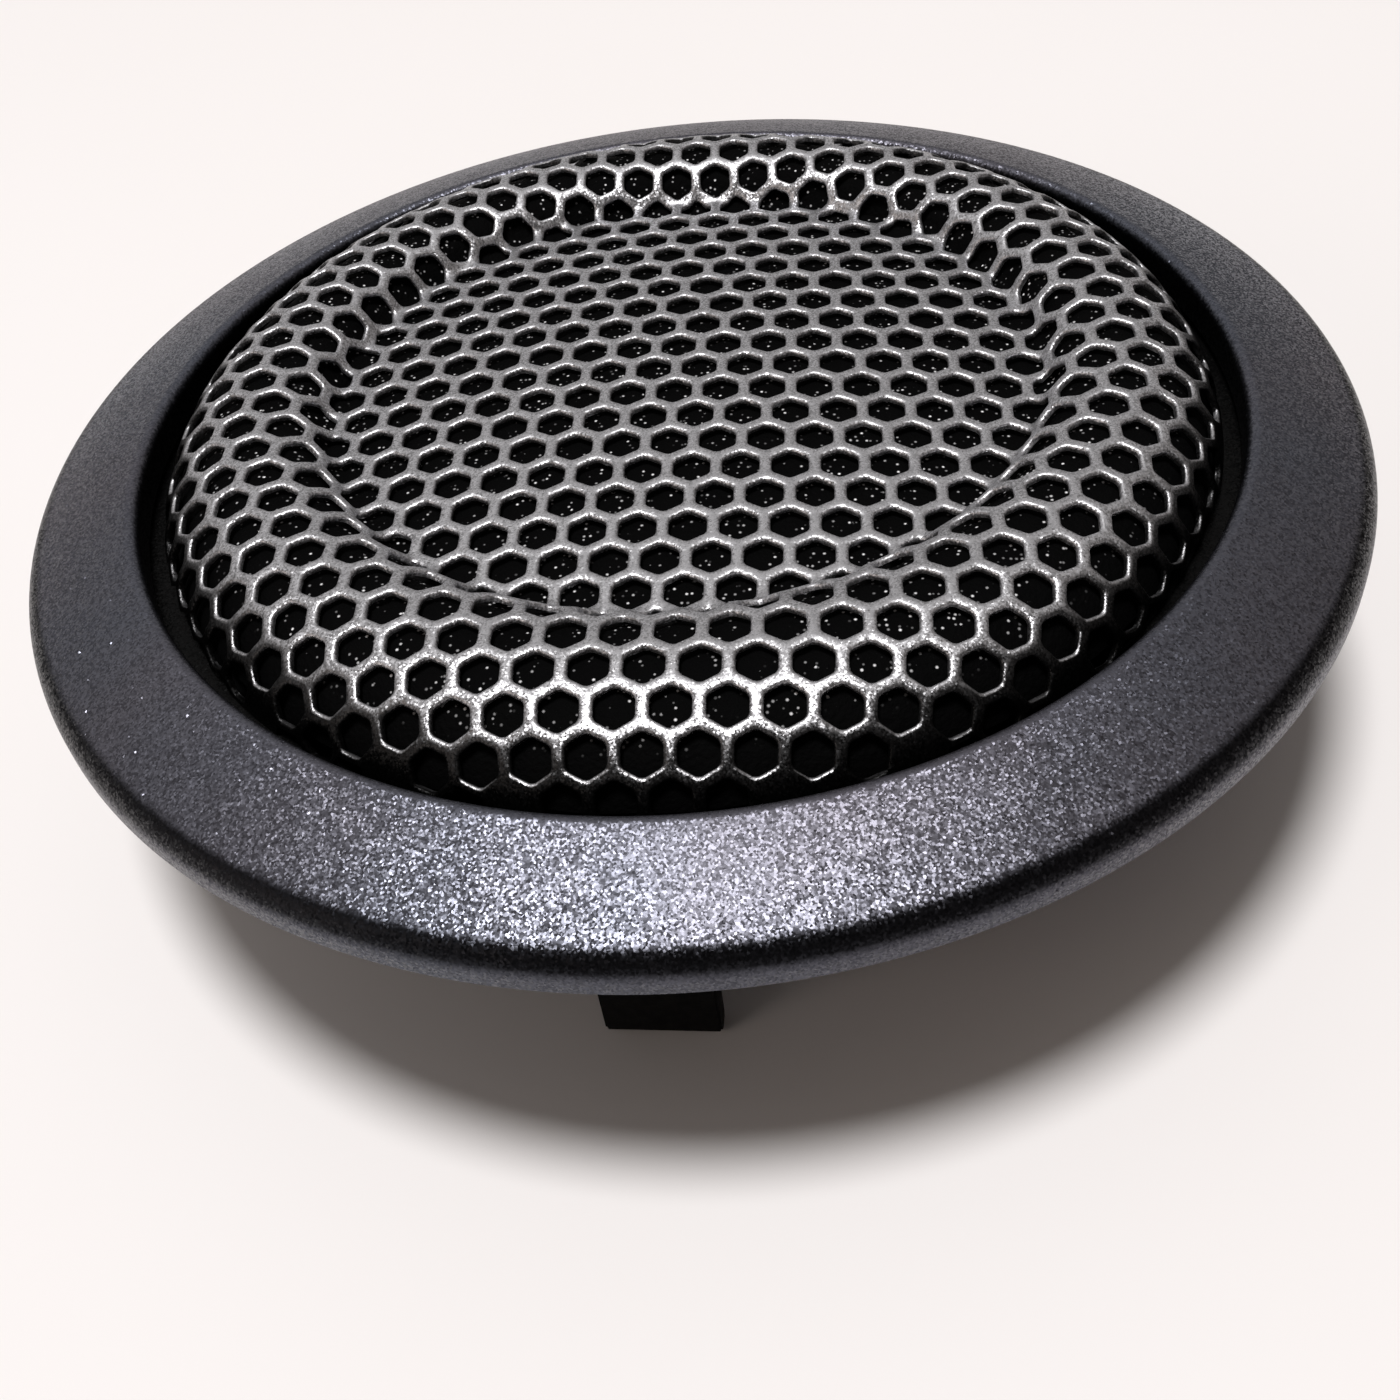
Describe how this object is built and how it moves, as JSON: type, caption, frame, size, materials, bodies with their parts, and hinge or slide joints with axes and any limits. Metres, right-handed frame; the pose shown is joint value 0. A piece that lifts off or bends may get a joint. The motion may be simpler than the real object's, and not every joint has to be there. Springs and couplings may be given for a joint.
{
  "type": "car tweeter",
  "caption": "Flush-mount soft dome tweeter with a rolled perforated grille, a wide bezel and snap legs for a round panel hole.",
  "frame": {"origin": "on the speaker's axis, at the height of the three feet", "axes": "+Z along the speaker's axis, the way the sound leaves; -Y towards the front snap leg; +X to the right of it"},
  "size_m": [0.058, 0.058, 0.0166],
  "materials": {
    "bezel_paint": "satin charcoal paint with a fine pearl grain",
    "grille_paint": "semi-gloss dark grey paint with a fine metallic grain",
    "black_plastic": "moulded, satin",
    "frame_plastic": "moulded, matt",
    "foam": "closed cell foam, matt",
    "scrim_cloth": "thin black acoustic cloth",
    "dome_silk": "coated silk, slightly tacky",
    "felt": "pressed wool felt",
    "former_film": "amber film",
    "copper_wire": "enamelled copper wire",
    "zinc_steel": "zinc plated steel",
    "magnet_plating": "nickel plated",
    "phenolic_board": "brown paper laminate",
    "tinned_brass": "tin plated",
    "capacitor_sleeve": "shrunk sleeve",
    "red_insulation": "satin",
    "black_insulation": "satin"
  },
  "bodies": {
    "housing": {"bezel_ring": "bezel_paint", "flange_gasket": "foam", "grille_mesh": "grille_paint", "grille_scrim": "scrim_cloth", "mounting_collar": "black_plastic", "faceplate": "frame_plastic", "driver_frame": "frame_plastic", "surround": "dome_silk", "damping_felt": "felt", "pole_plate": "zinc_steel", "magnet": "magnet_plating", "magnet_pot": "zinc_steel", "frame_screw_1": "zinc_steel", "frame_screw_2": "zinc_steel", "frame_screw_3": "zinc_steel", "terminal_board": "phenolic_board", "terminal_positive": "tinned_brass", "terminal_negative": "tinned_brass", "terminal_rivet_positive": "tinned_brass", "terminal_rivet_negative": "tinned_brass", "crossover_capacitor": "capacitor_sleeve", "capacitor_pad": "foam", "feed_wire": "red_insulation", "coil_wire_positive": "red_insulation", "coil_wire_negative": "black_insulation"},
    "diaphragm": {"dome": "dome_silk", "coil_former": "former_film", "voice_coil": "copper_wire"},
    "front_leg": {"snap_leg_front": "black_plastic"},
    "right_leg": {"snap_leg_right": "black_plastic"},
    "left_leg": {"snap_leg_left": "black_plastic"}
  },
  "joints": [
    {"name": "diaphragm_travel", "type": "slide", "parent": "housing", "child": "diaphragm", "axis": [0, 0, 1], "range_m": [-0.0004, 0.0004], "stiffness_N_per_m": 26000, "deforming": ["surround"]},
    {"name": "front_leg_flex", "type": "hinge", "parent": "housing", "child": "front_leg", "pos_m": [0, -0.0234, 0.0109], "axis": [1, 0, 0], "range_deg": [0, 10], "stiffness_Nm_per_rad": 0.45},
    {"name": "right_leg_flex", "type": "hinge", "parent": "housing", "child": "right_leg", "pos_m": [0.02026, 0.0117, 0.0109], "axis": [-0.5, 0.866, 0], "range_deg": [0, 10], "stiffness_Nm_per_rad": 0.45},
    {"name": "left_leg_flex", "type": "hinge", "parent": "housing", "child": "left_leg", "pos_m": [-0.02026, 0.0117, 0.0109], "axis": [-0.5, -0.866, 0], "range_deg": [0, 10], "stiffness_Nm_per_rad": 0.45}
  ]
}
